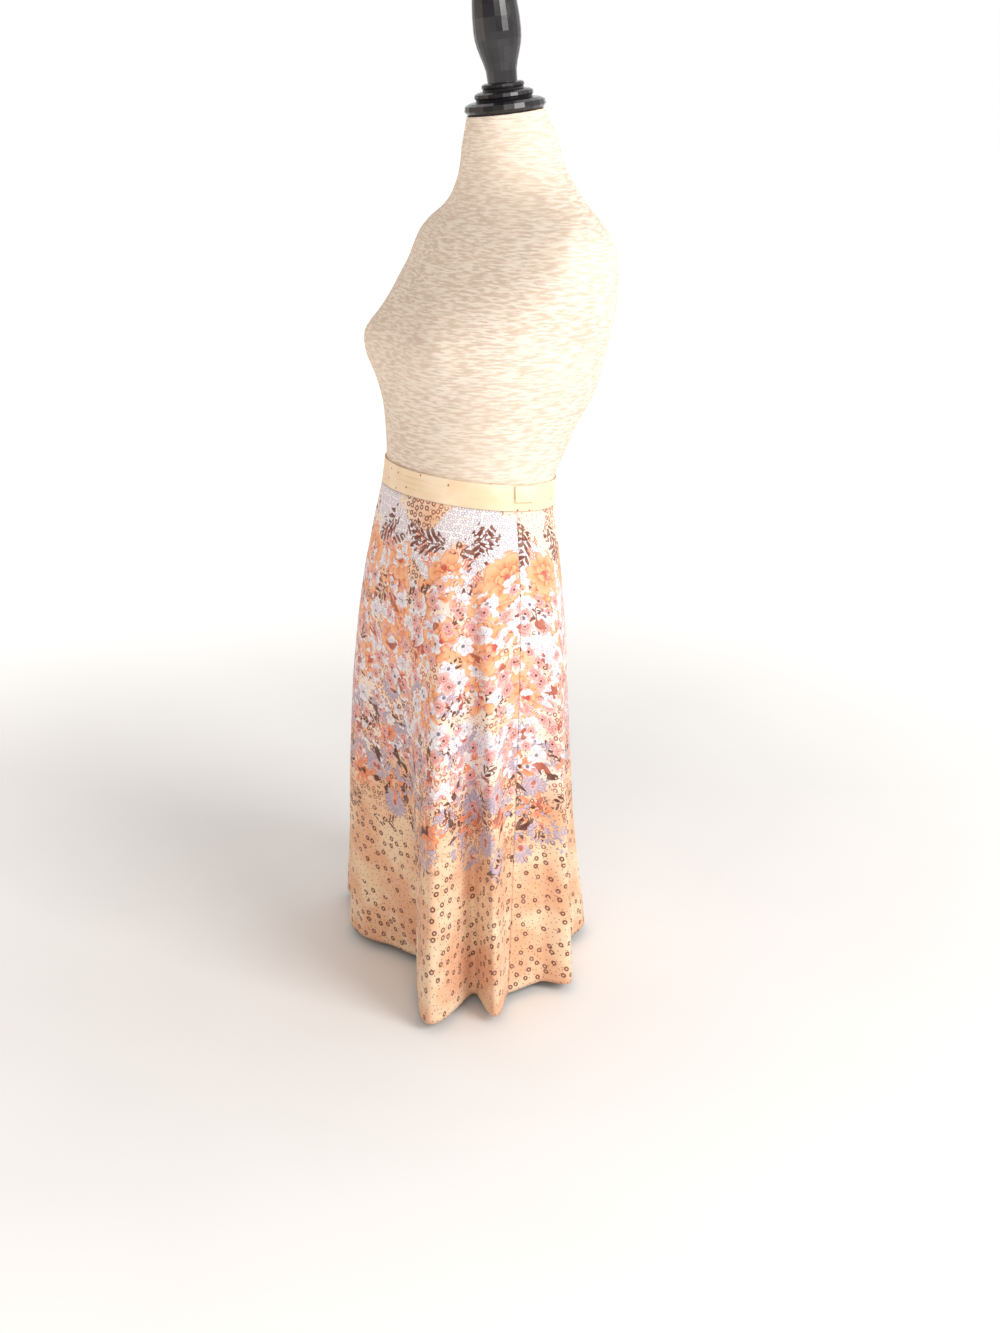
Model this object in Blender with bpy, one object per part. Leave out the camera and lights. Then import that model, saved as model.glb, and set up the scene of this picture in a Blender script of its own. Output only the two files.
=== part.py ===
"""A-line skirt worn on a limbless dress form that stands on a pole and a round base.

Metres, +Z up. The origin is the middle of the base's underside. The form faces -Y, and the
wearer's left is +X. Angles around the body run anticlockwise from +X, so -90 is the front.
"""

import math
from bisect import bisect_right
from collections import namedtuple
from functools import lru_cache

import bmesh
import bpy
import numpy as np
from mathutils import Matrix, Vector

# Cloth
CLOTH = 0.0012
SEAM_GAP = 0.0003
WAIST_HEIGHT = 0.592
SKIRT_LENGTH = 0.580
BAND_HEIGHT = 0.029
BAND_PROUD = 0.0009
BAND_REACH = 0.124
TAB_LENGTH = 0.027
TAB_ANGLE = 3.5
TAB_UNDERLAP = 0.0085
TAB_EDGES = (0.98, 0.78, 0.57, 0.36)
TAB_COLUMNS = 8

# A side seam leans across its panel, so its gap is opened a little to stay even
SEAM_LEAN = 1.4

# Where the garment's own axis stands in front of the pole, and how far the waist is tilted
AXIS_Y = -0.015
WAIST_TILT = -0.10
NECK_TILT = 0.126

# Dress form
FORM_BOTTOM = 0.372
NECK_TOP = 1.012
NECK_CENTRE_Y = 0.049
FORM_EDGE = 0.004

# Stand
BASE_RADIUS = 0.095
BASE_THICKNESS = 0.018
BOSS_RADIUS = 0.024
BOSS_TOP = 0.040
POLE_RADIUS = 0.0125
COLLAR_RADIUS = 0.034
COLLAR_HEIGHT = 0.014
COLLAR_FOOT_RADIUS = 0.024
COLLAR_TAPER = 0.008
BASE_EDGE = 0.005
BOSS_EDGE = 0.003
CHAMFER = 0.002
TURNED_STEPS = 24

# The neck cap's rings, bottom to top: the centre of each rounded edge, its size, the angle at
# which the rounding starts, and the radius of the groove above it.
Ring = namedtuple("Ring", "radius height rounding start groove")
CAP_FOOT = 0.0410
CAP_RINGS = [
    Ring(0.0395, 0.0062, 0.0062, -65, 0.0330),
    Ring(0.0290, 0.0182, 0.0042, -60, 0.0235),
    Ring(0.0205, 0.0276, 0.0036, -50, 0.0),
]
CAP_GROOVE_RISE = 0.0012

# The finial: a long egg that is widest low down, on a narrower foot
FINIAL_FOOT = 0.0165
FINIAL_WAIST = 0.0171
FINIAL_BELLY = 0.0262
FINIAL_WAIST_HEIGHT = 0.012
FINIAL_BELLY_HEIGHT = 0.052
FINIAL_HEIGHT = 0.130
FINIAL_STEPS_BELOW = 5
FINIAL_STEPS_ABOVE = 8

# The form's sections, bottom to top: the line where front and back halves meet, the widths
# from it, and how square each half is (2 is an ellipse, more is squarer).
Section = namedtuple("Section", "height middle half_width front back front_square back_square")
FORM_SECTIONS = [
    Section(0.372, 0.000, 0.1330, 0.1060, 0.0850, 2.0, 2.0),
    Section(0.430, 0.000, 0.1400, 0.1120, 0.0910, 2.0, 2.0),
    Section(0.490, 0.000, 0.1400, 0.1110, 0.0920, 2.0, 2.0),
    Section(0.545, 0.000, 0.1320, 0.1030, 0.0910, 2.0, 2.0),
    Section(0.592, 0.000, 0.1235, 0.0940, 0.0900, 2.0, 2.0),
    Section(0.625, 0.001, 0.1200, 0.0910, 0.0940, 2.0, 2.0),
    Section(0.652, 0.004, 0.1220, 0.0945, 0.1070, 2.0, 2.0),
    Section(0.680, 0.007, 0.1280, 0.0985, 0.1150, 2.0, 2.1),
    Section(0.715, 0.011, 0.1380, 0.1060, 0.1310, 2.1, 2.2),
    Section(0.745, 0.014, 0.1460, 0.1110, 0.1340, 2.2, 2.3),
    Section(0.768, 0.017, 0.1510, 0.1120, 0.1360, 2.2, 2.3),
    Section(0.800, 0.020, 0.1600, 0.1030, 0.1360, 1.9, 2.4),
    Section(0.830, 0.025, 0.1690, 0.0900, 0.1280, 1.7, 2.4),
    Section(0.858, 0.031, 0.1740, 0.0800, 0.1160, 1.5, 2.4),
    Section(0.880, 0.037, 0.1710, 0.0740, 0.1000, 1.5, 2.3),
    Section(0.897, 0.043, 0.1550, 0.0700, 0.0860, 1.5, 2.1),
    Section(0.912, 0.048, 0.1240, 0.0620, 0.0780, 1.6, 2.0),
    Section(0.930, 0.051, 0.0900, 0.0570, 0.0710, 1.8, 2.0),
    Section(0.952, 0.051, 0.0650, 0.0520, 0.0640, 2.0, 2.0),
    Section(0.980, 0.050, 0.0530, 0.0490, 0.0580, 2.0, 2.0),
    Section(1.012, 0.049, 0.0430, 0.0430, 0.0430, 2.0, 2.0),
]
FORM_RINGS_BETWEEN = 2
FORM_STEPS = 40

# The bust: two soft rises, each side of centre front
BUST_HEIGHT = 0.765
BUST_ANGLE = 36.0
BUST_RISE = 0.012
BUST_SPREAD = 17.0
BUST_TALL = 0.038

# The skirt's smooth shape without folds, by distance down from the waist seam, and how much
# of each fold has opened there.
Drape = namedtuple("Drape", "drop half_width front back opened")
SKIRT_DRAPE = [
    Drape(0.000, 0.1256, 0.0961, 0.0921, 0.00),
    Drape(0.048, 0.1365, 0.1070, 0.0955, 0.03),
    Drape(0.122, 0.1500, 0.1215, 0.1025, 0.14),
    Drape(0.198, 0.1580, 0.1310, 0.1066, 0.28),
    Drape(0.263, 0.1630, 0.1360, 0.1070, 0.42),
    Drape(0.398, 0.1720, 0.1398, 0.1080, 0.70),
    Drape(0.580, 0.1800, 0.1400, 0.1200, 1.00),
]

# Folds at the hem: the crests and valleys around the garment's axis, and how far each reaches.
Fold = namedtuple("Fold", "angle reach")
HEM_FOLDS = [
    Fold(-168, 0.160),
    Fold(-153, 0.207),
    Fold(-139, 0.150),
    Fold(-127, 0.160),
    Fold(-110, 0.143),
    Fold(-90, 0.109),
    Fold(-66, 0.101),
    Fold(-49, 0.175),
    Fold(-39, 0.238),
    Fold(-26, 0.165),
    Fold(-20, 0.220),
    Fold(-12, 0.171),
    Fold(4, 0.162),
    Fold(12, 0.187),
    Fold(22, 0.160),
    Fold(36, 0.118),
    Fold(71, 0.149),
    Fold(90, 0.116),
    Fold(110, 0.152),
    Fold(126, 0.124),
    Fold(143, 0.190),
    Fold(157, 0.146),
    Fold(172, 0.196),
]

# Side seams: where each lies at the waist, and how far it swings to the front by the hem
SEAM_AT_WAIST = 2.0
SEAM_SWING = 10.5
SKIRT_COLUMNS = 56
SKIRT_ROWS = 13
BAND_COLUMNS = 34

# Tucks pressed into the band: how far each rises off it, across its height
Tuck = namedtuple("Tuck", "up rise")
TUCKS_START = -92
TUCKS_FULL = -67
BAND_TUCKS = [
    Tuck(0.00, 0.0000),
    Tuck(0.30, 0.0009),
    Tuck(0.36, 0.0002),
    Tuck(0.50, 0.0008),
    Tuck(0.56, 0.0001),
    Tuck(0.72, 0.0007),
    Tuck(0.78, 0.0001),
    Tuck(1.00, 0.0006),
]


def smooth_value(places, values, place):
    """A value read from rows, on a curve through them that doesn't swing past any."""
    if place <= places[0]:
        return values[0]
    if place >= places[-1]:
        return values[-1]
    i = bisect_right(places, place) - 1

    def rise(k):
        return (values[k + 1] - values[k]) / (places[k + 1] - places[k])

    def slope(k):
        if k == 0:
            return rise(0)
        if k == len(places) - 1:
            return rise(k - 1)
        before, after = rise(k - 1), rise(k)
        return 2 * before * after / (before + after) if before * after > 0 else 0.0

    step = places[i + 1] - places[i]
    t = (place - places[i]) / step
    keep = values[i] * (1 + 2 * t) * (1 - t) ** 2 + values[i + 1] * t * t * (3 - 2 * t)
    bend = step * (slope(i) * t * (1 - t) ** 2 - slope(i + 1) * t * t * (1 - t))
    return keep + bend


def read_row(rows, place):
    """A row between the table's rows, each column smoothed in turn."""
    columns = list(zip(*rows))
    return type(rows[0])(*[smooth_value(columns[0], column, place) for column in columns])


@lru_cache(maxsize=None)
def form_section(height):
    return read_row(FORM_SECTIONS, height)


@lru_cache(maxsize=None)
def skirt_drape(drop):
    return read_row(SKIRT_DRAPE, drop)


def reach_of_oval(angle, half_width, front, back, front_square=2.0, back_square=2.0):
    depth, square = (front, front_square) if math.sin(angle) < 0 else (back, back_square)
    across = (abs(math.cos(angle)) / half_width) ** square
    along = (abs(math.sin(angle)) / depth) ** square
    return (across + along) ** (-1 / square)


def tilt_at(height):
    """Slope of a section front to back: raised in front at the waist, behind at the neck."""
    part = min(max((height - WAIST_HEIGHT) / (NECK_TOP - WAIST_HEIGHT), -1.0), 1.0)
    if part < 0:
        low = (WAIST_HEIGHT - height) / (WAIST_HEIGHT - FORM_BOTTOM)
        return WAIST_TILT * max(1 - low, 0.0)
    return WAIST_TILT + (NECK_TILT - WAIST_TILT) * part * part * (3 - 2 * part)


def bust_rise(angle, height):
    turn = math.degrees(math.atan2(-math.cos(angle), -math.sin(angle)))
    across = math.exp(-(((abs(turn) - BUST_ANGLE) / BUST_SPREAD) ** 2))
    return BUST_RISE * across * math.exp(-(((height - BUST_HEIGHT) / BUST_TALL) ** 2))


def form_point(angle, height, out=0.0):
    """A point on the form at an angle around it, moved out by some distance."""
    row = form_section(height)
    reach = out + bust_rise(angle, height)
    reach += reach_of_oval(
        angle, row.half_width, row.front, row.back, row.front_square, row.back_square
    )
    y = reach * math.sin(angle)
    return Vector((reach * math.cos(angle), AXIS_Y + row.middle + y, height + tilt_at(height) * y))


@lru_cache(maxsize=None)
def hem_rows():
    """The folds three times over, so that any angle from -360 to 360 lies among them."""
    rows = [Fold(f.angle + turn, f.reach) for turn in (-360, 0, 360) for f in HEM_FOLDS]
    return [f.angle for f in rows], [f.reach for f in rows]


@lru_cache(maxsize=None)
def hem_reach(degrees):
    """How far the hem stands from the garment's axis, with every fold open."""
    angles, reaches = hem_rows()
    return smooth_value(angles, reaches, degrees)


def skirt_point(degrees, drop):
    """A point on the outside of the skirt, some way down from the waist seam."""
    angle = math.radians(degrees)
    row = skirt_drape(drop)
    hem = SKIRT_DRAPE[-1]
    fold = hem_reach(degrees) - reach_of_oval(angle, hem.half_width, hem.front, hem.back)
    reach = reach_of_oval(angle, row.half_width, row.front, row.back) + fold * row.opened
    height = WAIST_HEIGHT - drop
    if height > FORM_BOTTOM:
        under = form_point(angle, height)
        under_reach = math.hypot(under.x, under.y - AXIS_Y)
        reach = max(reach, under_reach + CLOTH + BAND_PROUD)
    level = WAIST_TILT * (1 - drop / SKIRT_LENGTH) ** 2
    y = reach * math.sin(angle)
    return Vector((reach * math.cos(angle), AXIS_Y + y, height + level * y))


def even_angles(start, end, count):
    """Angles that split the hem between two places into lengths as even as can be."""
    fine = np.linspace(start, end, 721)
    points = [skirt_point(a, SKIRT_LENGTH) for a in fine]
    along = [0.0]
    for a, b in zip(points, points[1:]):
        along.append(along[-1] + (b - a).length)
    return np.interp(np.linspace(0, along[-1], count + 1), along, fine)


def finish_material(name, colour, roughness, metallic=0.0):
    material = bpy.data.materials.new(name)
    material.use_nodes = True
    shader = material.node_tree.nodes["Principled BSDF"]
    shader.inputs["Base Color"].default_value = (*colour, 1.0)
    shader.inputs["Roughness"].default_value = roughness
    shader.inputs["Metallic"].default_value = metallic
    return material


def add_object(name, mesh_data, material):
    """Turns a bmesh into a named, smooth-shaded object."""
    mesh = bpy.data.meshes.new(name)
    mesh_data.to_mesh(mesh)
    mesh_data.free()
    mesh.materials.append(material)
    mesh.shade_smooth()
    mesh.set_sharp_from_angle(angle=math.radians(40))
    obj = bpy.data.objects.new(name, mesh)
    bpy.context.scene.collection.objects.link(obj)
    return obj


def add_cloth(name, rows, material):
    """A wall of cloth inwards from rows of points, each row running anticlockwise from above."""
    surface = bmesh.new()
    grid = [[surface.verts.new(point) for point in row] for row in rows]
    for upper, lower in zip(grid, grid[1:]):
        for k in range(len(upper) - 1):
            surface.faces.new((lower[k], lower[k + 1], upper[k + 1], upper[k]))
    obj = add_object(name, surface, material)
    wall = obj.modifiers.new("Cloth", "SOLIDIFY")
    wall.thickness = CLOTH
    wall.offset = -1.0
    return obj


def add_turned(name, profile, material, axis=Matrix()):
    """A solid turned about an axis from (radius, height) points, both ends on the axis."""
    solid = bmesh.new()
    outline = [solid.verts.new((radius, 0, height)) for radius, height in profile]
    edges = [solid.edges.new(pair) for pair in zip(outline, outline[1:])]
    bmesh.ops.spin(
        solid,
        geom=outline + edges,
        axis=(0, 0, 1),
        cent=(0, 0, 0),
        angle=math.tau,
        steps=TURNED_STEPS,
        use_merge=True,
    )
    bmesh.ops.remove_doubles(solid, verts=solid.verts, dist=1e-6)
    bmesh.ops.recalc_face_normals(solid, faces=solid.faces)
    solid.transform(axis)
    return add_object(name, solid, material)


def arc(centre_radius, centre_height, radius, start, end, steps):
    """Points on a turned profile's rounding, angles in degrees from straight out."""
    turns = [math.radians(start + (end - start) * k / steps) for k in range(steps + 1)]
    return [
        (centre_radius + radius * math.cos(a), centre_height + radius * math.sin(a)) for a in turns
    ]


def half_gap(reach):
    """Degrees from a seam's line to the edge of a piece that ends there."""
    return math.degrees(SEAM_GAP / 2 / reach) * SEAM_LEAN


def seam_angle(side, drop):
    """Degrees of a side seam, +1 on the wearer's left and -1 on the right."""
    swing = SEAM_AT_WAIST + SEAM_SWING * drop / SKIRT_LENGTH
    return -swing if side > 0 else -180 + swing


def skirt_panel(name, start_side, end_side, turn, material):
    """Front or back panel, anticlockwise from one side seam to the other."""
    hem_start = seam_angle(start_side, SKIRT_LENGTH)
    hem_end = seam_angle(end_side, SKIRT_LENGTH) + turn
    across = even_angles(hem_start, hem_end, SKIRT_COLUMNS)
    shares = (across - hem_start) / (hem_end - hem_start)
    rows = []
    for k in range(SKIRT_ROWS + 1):
        drop = SEAM_GAP + (SKIRT_LENGTH - SEAM_GAP) * k / SKIRT_ROWS
        start, end = seam_angle(start_side, drop), seam_angle(end_side, drop) + turn
        reach = skirt_point(start, drop).xy.length
        margin = half_gap(reach)
        angles = start + margin + (end - start - 2 * margin) * shares
        rows.append([skirt_point(a, drop) for a in angles])
    return add_cloth(name, rows, material)


def band_point(degrees, up, out=0.0):
    """A point on the outside of the band, from 0 at its lower edge to 1 at its top."""
    return form_point(
        math.radians(degrees), WAIST_HEIGHT + BAND_HEIGHT * up, CLOTH + BAND_PROUD + out
    )


def tuck_strength(degrees):
    """The tucks are pulled from the closing at the left side and die out at centre front."""
    return max(0.0, min(1.0, (degrees - TUCKS_START) / (TUCKS_FULL - TUCKS_START)))


def waistband(name, start, end, tucked, material):
    rows = []
    ups = [tuck.up for tuck in reversed(BAND_TUCKS)]
    rises = [tuck.rise for tuck in reversed(BAND_TUCKS)]
    for up, rise in zip(ups, rises):
        angles = np.linspace(start, end, BAND_COLUMNS + 1)
        rows.append(
            [band_point(a, up, rise * tuck_strength(a) if tucked else 0.0) for a in angles]
        )
    return add_cloth(name, rows, material)


def tab_ends():
    half = math.degrees(TAB_LENGTH / 2 / BAND_REACH)
    return TAB_ANGLE - half, TAB_ANGLE + half


def waistband_tab(material):
    """The square end of the back band, lapped over the front band at the left side."""
    lift = CLOTH + max(tuck.rise for tuck in BAND_TUCKS) + SEAM_GAP * 2
    angles = np.linspace(*tab_ends(), TAB_COLUMNS + 1)
    rows = [[band_point(a, up, lift) for a in angles] for up in TAB_EDGES]
    return add_cloth("waistband_tab", rows, material)


def dress_form(material):
    solid = bmesh.new()
    heights = [FORM_BOTTOM]
    for low, high in zip(FORM_SECTIONS, FORM_SECTIONS[1:]):
        step = (high.height - low.height) / FORM_RINGS_BETWEEN
        heights += [low.height + step * (k + 1) for k in range(FORM_RINGS_BETWEEN)]
    turns = [math.tau * k / FORM_STEPS for k in range(FORM_STEPS)]
    rings = [[solid.verts.new(form_point(a, h)) for a in turns] for h in heights]
    inset = [solid.verts.new(form_point(a, FORM_BOTTOM, -FORM_EDGE)) for a in turns]
    for corner in inset:
        corner.co.z = FORM_BOTTOM - FORM_EDGE
    rings.insert(0, inset)
    for lower, upper in zip(rings, rings[1:]):
        for k in range(FORM_STEPS):
            n = (k + 1) % FORM_STEPS
            solid.faces.new((lower[k], lower[n], upper[n], upper[k]))
    solid.faces.new(list(reversed(rings[0])))
    solid.faces.new(rings[-1])
    return add_object("dress_form", solid, material)


def neck_axis(rise):
    """The neck's own axis, leaning with its cut top, some way above that cut."""
    lean = Matrix.Rotation(math.atan(NECK_TILT), 4, "X")
    foot = Matrix.Translation((0, AXIS_Y + NECK_CENTRE_Y, NECK_TOP))
    return foot @ lean @ Matrix.Translation((0, 0, rise))


def neck_cap(material):
    """Three stepped rings, each with a rounded edge."""
    profile = [(0, 0), (CAP_FOOT, 0)]
    for ring in CAP_RINGS:
        profile += arc(ring.radius, ring.height, ring.rounding, ring.start, 90, 3)
        top = ring.height + ring.rounding
        profile.append((ring.groove, top + CAP_GROOVE_RISE if ring.groove else top))
    return add_turned("neck_cap", profile, material, neck_axis(SEAM_GAP))


def finial(material):
    profile = [(0, 0), (FINIAL_FOOT, 0), (FINIAL_WAIST, FINIAL_WAIST_HEIGHT)]
    for k in range(1, FINIAL_STEPS_BELOW + 1):
        part = k / FINIAL_STEPS_BELOW
        swell = math.sin(math.radians(90 * part)) ** 1.3
        height = FINIAL_WAIST_HEIGHT + (FINIAL_BELLY_HEIGHT - FINIAL_WAIST_HEIGHT) * part
        profile.append((FINIAL_WAIST + (FINIAL_BELLY - FINIAL_WAIST) * swell, height))
    for k in range(1, FINIAL_STEPS_ABOVE):
        turn = math.radians(90 * k / FINIAL_STEPS_ABOVE)
        height = FINIAL_BELLY_HEIGHT + (FINIAL_HEIGHT - FINIAL_BELLY_HEIGHT) * math.sin(turn)
        profile.append((FINIAL_BELLY * math.cos(turn) ** 0.8, height))
    profile.append((0, FINIAL_HEIGHT))
    cap_top = CAP_RINGS[-1].height + CAP_RINGS[-1].rounding
    return add_turned("finial", profile, material, neck_axis(cap_top + 2 * SEAM_GAP))


def stand(iron):
    """A round base with a boss, a pole, and a collar that tapers out to carry the form."""
    base = [(0, 0), (BASE_RADIUS - CHAMFER, 0), (BASE_RADIUS, CHAMFER)]
    base += arc(BASE_RADIUS - BASE_EDGE, BASE_THICKNESS - BASE_EDGE, BASE_EDGE, 0, 90, 4)
    base += [(BOSS_RADIUS + BOSS_EDGE, BASE_THICKNESS), (BOSS_RADIUS, BASE_THICKNESS + BOSS_EDGE)]
    base += arc(BOSS_RADIUS - BOSS_EDGE, BOSS_TOP - BOSS_EDGE, BOSS_EDGE, 0, 90, 3)
    base += [(0, BOSS_TOP)]
    add_turned("stand_base", base, iron)
    collar_foot = FORM_BOTTOM - FORM_EDGE - SEAM_GAP - COLLAR_HEIGHT
    pole_top = collar_foot - BOSS_TOP - 2 * SEAM_GAP
    pole = [(0, 0), (POLE_RADIUS, 0), (POLE_RADIUS, pole_top), (0, pole_top)]
    add_turned("stand_pole", pole, iron, Matrix.Translation((0, 0, BOSS_TOP + SEAM_GAP)))
    collar = [(0, 0), (COLLAR_FOOT_RADIUS, 0), (COLLAR_RADIUS, COLLAR_TAPER)]
    collar += [(COLLAR_RADIUS, COLLAR_HEIGHT), (0, COLLAR_HEIGHT)]
    add_turned("stand_collar", collar, iron, Matrix.Translation((0, 0, collar_foot)))


def clear_scene():
    for obj in list(bpy.data.objects):
        bpy.data.objects.remove(obj, do_unlink=True)


def build():
    clear_scene()
    print_cloth = finish_material("print_cloth", (0.91, 0.62, 0.42), 0.75)
    band_cloth = finish_material("band_cloth", (0.93, 0.74, 0.55), 0.75)
    linen = finish_material("linen_cover", (0.86, 0.75, 0.64), 0.9)
    lacquer = finish_material("black_lacquer", (0.012, 0.011, 0.012), 0.25)
    iron = finish_material("black_iron", (0.02, 0.02, 0.02), 0.5)
    skirt_panel("skirt_front", -1, 1, 0, print_cloth)
    skirt_panel("skirt_back", 1, -1, 360, print_cloth)
    left = TAB_ANGLE + math.degrees(TAB_UNDERLAP / BAND_REACH)
    margin = half_gap(BAND_REACH)
    waistband("waistband_front", -180 + SEAM_AT_WAIST + margin, left - margin, True, band_cloth)
    waistband("waistband_back", left + margin, 180 + SEAM_AT_WAIST - margin, False, band_cloth)
    waistband_tab(band_cloth)
    dress_form(linen)
    neck_cap(lacquer)
    finial(lacquer)
    stand(iron)


build()
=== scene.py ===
import math

import bpy
import numpy as np
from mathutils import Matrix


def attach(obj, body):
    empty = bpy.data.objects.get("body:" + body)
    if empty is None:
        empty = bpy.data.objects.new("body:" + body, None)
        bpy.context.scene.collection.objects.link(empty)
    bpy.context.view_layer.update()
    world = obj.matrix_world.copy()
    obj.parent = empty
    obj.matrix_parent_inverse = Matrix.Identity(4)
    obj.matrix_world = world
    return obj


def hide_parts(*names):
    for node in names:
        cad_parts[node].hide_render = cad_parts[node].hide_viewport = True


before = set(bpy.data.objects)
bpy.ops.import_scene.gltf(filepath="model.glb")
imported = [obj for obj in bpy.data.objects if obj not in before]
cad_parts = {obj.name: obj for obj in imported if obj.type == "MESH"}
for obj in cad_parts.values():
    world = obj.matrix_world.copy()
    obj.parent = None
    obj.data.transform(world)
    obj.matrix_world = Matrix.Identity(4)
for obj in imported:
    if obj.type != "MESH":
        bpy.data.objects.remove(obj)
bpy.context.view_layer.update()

# Where things lie, in metres. The form faces -Y and the wearer's left is +X. Angles run
# anticlockwise round the body from +X, so -90 is centre front.
figure = {
    "axisY": -0.015,
    "waist": 0.592,
    "waistTilt": -0.10,
    "neckTop": 1.012,
    "neckTilt": 0.126,
    "formBottom": 0.372,
    "cloth": 0.0012,
    "seamGap": 0.0003,
    "bandProud": 0.0009,
}

# Sections of the form: height, middle line, half width, front, back, squareness front and back
formSections = np.array([
    (0.372, 0.000, 0.1330, 0.1060, 0.0850, 2.0, 2.0),
    (0.430, 0.000, 0.1400, 0.1120, 0.0910, 2.0, 2.0),
    (0.490, 0.000, 0.1400, 0.1110, 0.0920, 2.0, 2.0),
    (0.545, 0.000, 0.1320, 0.1030, 0.0910, 2.0, 2.0),
    (0.592, 0.000, 0.1235, 0.0940, 0.0900, 2.0, 2.0),
    (0.625, 0.001, 0.1200, 0.0910, 0.0940, 2.0, 2.0),
    (0.652, 0.004, 0.1220, 0.0945, 0.1070, 2.0, 2.0),
    (0.680, 0.007, 0.1280, 0.0985, 0.1150, 2.0, 2.1),
    (0.715, 0.011, 0.1380, 0.1060, 0.1310, 2.1, 2.2),
    (0.745, 0.014, 0.1460, 0.1110, 0.1340, 2.2, 2.3),
    (0.768, 0.017, 0.1510, 0.1120, 0.1360, 2.2, 2.3),
    (0.800, 0.020, 0.1600, 0.1030, 0.1360, 1.9, 2.4),
    (0.830, 0.025, 0.1690, 0.0900, 0.1280, 1.7, 2.4),
    (0.858, 0.031, 0.1740, 0.0800, 0.1160, 1.5, 2.4),
    (0.880, 0.037, 0.1710, 0.0740, 0.1000, 1.5, 2.3),
    (0.897, 0.043, 0.1550, 0.0700, 0.0860, 1.5, 2.1),
    (0.912, 0.048, 0.1240, 0.0620, 0.0780, 1.6, 2.0),
    (0.930, 0.051, 0.0900, 0.0570, 0.0710, 1.8, 2.0),
    (0.952, 0.051, 0.0650, 0.0520, 0.0640, 2.0, 2.0),
    (0.980, 0.050, 0.0530, 0.0490, 0.0580, 2.0, 2.0),
    (1.012, 0.049, 0.0430, 0.0430, 0.0430, 2.0, 2.0),
])
bust = {"height": 0.765, "angle": 36.0, "rise": 0.012, "spread": 17.0, "tall": 0.038}

# The skirt by distance down from the waist: half width, front, back, share of each fold opened
skirtDrape = np.array([
    (0.000, 0.1256, 0.0961, 0.0921, 0.00),
    (0.048, 0.1365, 0.1070, 0.0955, 0.03),
    (0.122, 0.1500, 0.1215, 0.1025, 0.14),
    (0.198, 0.1580, 0.1310, 0.1066, 0.28),
    (0.263, 0.1630, 0.1360, 0.1070, 0.42),
    (0.398, 0.1720, 0.1398, 0.1080, 0.70),
    (0.580, 0.1800, 0.1400, 0.1200, 1.00),
])
# Folds at the hem: angle, reach from the axis
hemFolds = np.array([
    (-168, 0.160), (-153, 0.207), (-139, 0.150), (-127, 0.160), (-110, 0.143), (-90, 0.109),
    (-66, 0.101), (-49, 0.175), (-39, 0.238), (-26, 0.165), (-20, 0.220), (-12, 0.171),
    (4, 0.162), (12, 0.187), (22, 0.160), (36, 0.118), (71, 0.149), (90, 0.116),
    (110, 0.152), (126, 0.124), (143, 0.190), (157, 0.146), (172, 0.196),
])


def throughRows(places, values, at):
    # a curve through the rows that never swings past one of them
    step = np.diff(places)
    rise = np.diff(values) / step
    before, after = rise[:-1], rise[1:]
    same = before * after > 0
    inner = np.where(same, 2 * before * after / np.where(same, before + after, 1.0), 0.0)
    slope = np.concatenate([rise[:1], inner, rise[-1:]])
    at = np.clip(at, places[0], places[-1])
    i = np.clip(np.searchsorted(places, at, side="right") - 1, 0, len(step) - 1)
    t = (at - places[i]) / step[i]
    keep = values[i] * (1 + 2 * t) * (1 - t) ** 2 + values[i + 1] * t * t * (3 - 2 * t)
    return keep + step[i] * (slope[i] * t * (1 - t) ** 2 - slope[i + 1] * t * t * (1 - t))


def softStep(low, high, value):
    t = np.clip((value - low) / (high - low), 0, 1)
    return t * t * (3 - 2 * t)


def ovalReach(angle, halfWidth, front, back, frontSquare=2.0, backSquare=2.0):
    ahead = np.sin(angle) < 0
    depth = np.where(ahead, front, back)
    square = np.where(ahead, frontSquare, backSquare)
    across = (np.abs(np.cos(angle)) / halfWidth) ** square
    return (across + (np.abs(np.sin(angle)) / depth) ** square) ** (-1 / square)


def formPoints(degrees, height, out=0.0):
    degrees, height = np.broadcast_arrays(np.asarray(degrees, float), np.asarray(height, float))
    angle = np.radians(degrees)
    columns = [throughRows(formSections[:, 0], formSections[:, k], height) for k in range(1, 7)]
    middle, halfWidth, front, back, frontSquare, backSquare = columns
    turn = np.abs((degrees + 90 + 180) % 360 - 180)
    lobe = np.exp(-(((turn - bust["angle"]) / bust["spread"]) ** 2))
    lobe = lobe * np.exp(-(((height - bust["height"]) / bust["tall"]) ** 2))
    reach = ovalReach(angle, halfWidth, front, back, frontSquare, backSquare)
    reach = reach + bust["rise"] * lobe + out
    up = softStep(figure["waist"], figure["neckTop"], height)
    down = np.clip((figure["waist"] - height) / (figure["waist"] - figure["formBottom"]), 0, 1)
    tilt = figure["waistTilt"] + (figure["neckTilt"] - figure["waistTilt"]) * up
    tilt = np.where(height < figure["waist"], figure["waistTilt"] * (1 - down), tilt)
    y = reach * np.sin(angle)
    return np.stack([reach * np.cos(angle), figure["axisY"] + middle + y, height + tilt * y], -1)


view = {"azimuth": 63.0, "distance": 1.85, "height": 1.018, "down": 19.3, "aside": 1.146, "lens": 43.2}


def aimCamera():
    turn = math.radians(view["azimuth"])
    x = view["distance"] * math.sin(turn)
    y = figure["axisY"] - view["distance"] * math.cos(turn)
    bpy.ops.object.camera_add(
        location=(x, y, view["height"]),
        rotation=(math.radians(90 - view["down"]), 0, turn - math.radians(view["aside"])),
    )
    camera = bpy.context.object
    camera.name = "camera"
    camera.data.lens = view["lens"]
    bpy.context.scene.camera = camera
    print("camera placed")


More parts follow.
